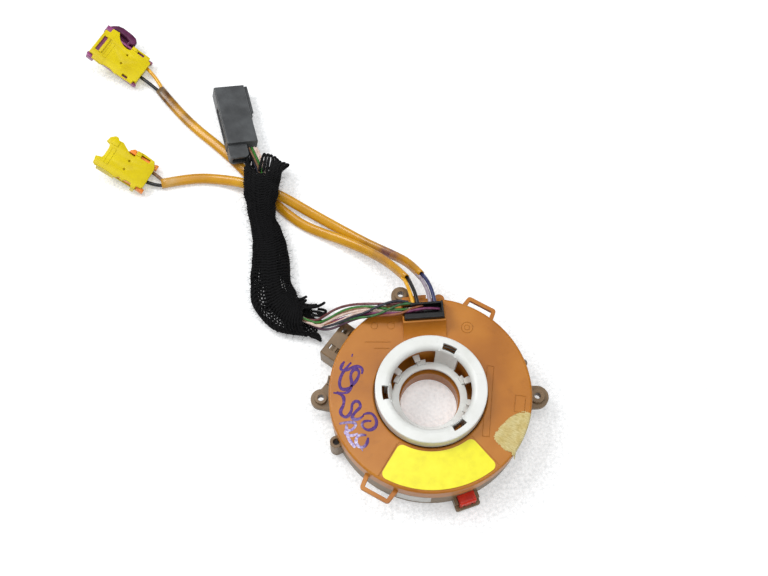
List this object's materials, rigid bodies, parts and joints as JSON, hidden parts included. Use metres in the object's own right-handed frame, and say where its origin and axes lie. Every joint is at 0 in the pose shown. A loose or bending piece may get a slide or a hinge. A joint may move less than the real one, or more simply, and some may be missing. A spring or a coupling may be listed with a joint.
{
  "type": "steering clock spring",
  "caption": "Steering column clock spring: round two-part housing, sprung white lock ring, sheathed airbag leads and a knitted wiring tail, shown lying flat.",
  "frame": {"origin": "on the steering column's axis, in the base's bottom plane", "axes": "+Z along the column towards the driver, +Y from the column towards the wiring tower, +X to the right seen from the driver"},
  "size_m": [0.2361, 0.2922, 0.0343],
  "materials": {
    "housing": "satin moulded, olive brown",
    "cover": "satin moulded, orange tan",
    "ring": "satin moulded, off-white",
    "black_plastic": "satin moulded",
    "grey_plastic": "satin moulded, charcoal",
    "yellow_plastic": "moulded",
    "purple_plastic": "moulded",
    "orange_plastic": "moulded",
    "red_plastic": "moulded, glossy",
    "spring_steel": "drawn wire",
    "tin": "plated",
    "cable_film": "flexible film",
    "label": "coated label",
    "sticker": "plain label",
    "tape": "torn masking tape",
    "sheath": "soft vinyl sleeve, amber",
    "wire_black": "wire insulation",
    "wire_yellow": "wire insulation",
    "wire_grey": "wire insulation",
    "wire_navy": "wire insulation",
    "wire_mixed": "several insulated wires",
    "knit": "open knit, black"
  },
  "bodies": {
    "base": {"base_housing": "housing", "main_socket_pins": "tin", "side_sticker": "sticker"},
    "rotor": {"rotor_cover": "cover", "tower_connector": "black_plastic", "yellow_label": "label", "tape_remnant": "tape", "flat_cable": "cable_film", "lock_spring": "spring_steel", "sheath_a": "sheath", "sheath_b": "sheath", "harness_bundle": "wire_mixed", "plug_bundle": "wire_mixed", "lead_a_yellow": "wire_yellow", "lead_a_black": "wire_black", "lead_b_grey": "wire_grey", "lead_b_navy": "wire_navy", "lead_a_amber": "wire_yellow", "lead_a_dark": "wire_black", "lead_b_brown": "wire_grey", "lead_b_dark": "wire_black", "knit_sleeve": "knit", "connector_a": "yellow_plastic", "connector_b": "yellow_plastic", "black_plug": "grey_plastic", "plug_cover": "grey_plastic"},
    "ring": {"lock_ring": "ring"},
    "red_lock": {"red_lock": "red_plastic"},
    "a_lock": {"connector_a_lock": "purple_plastic"},
    "b_lock": {"connector_b_lock": "orange_plastic"}
  },
  "joints": [
    {"name": "rotor_spin", "type": "hinge", "parent": "base", "child": "rotor", "pos_m": [0, 0, 0], "axis": [0, 0, 1], "range_deg": [-900, 900], "deforming": ["flat_cable"]},
    {"name": "lock_ring_press", "type": "slide", "parent": "rotor", "child": "ring", "axis": [0, 0, -1], "range_m": [0, 0.004], "stiffness_N_per_m": 1500, "springref_m": -0.003, "deforming": ["lock_spring"]},
    {"name": "red_lock_slide", "type": "slide", "parent": "base", "child": "red_lock", "axis": [0.2588, -0.9659, 0], "range_m": [0, 0.0025]},
    {"name": "connector_a_lock_slide", "type": "slide", "parent": "rotor", "child": "a_lock", "axis": [-0.7373, 0.6756, 0], "range_m": [0, 0.002]},
    {"name": "connector_b_lock_slide", "type": "slide", "parent": "rotor", "child": "b_lock", "axis": [-0.7771, 0.6293, 0], "range_m": [0, 0.002]}
  ]
}
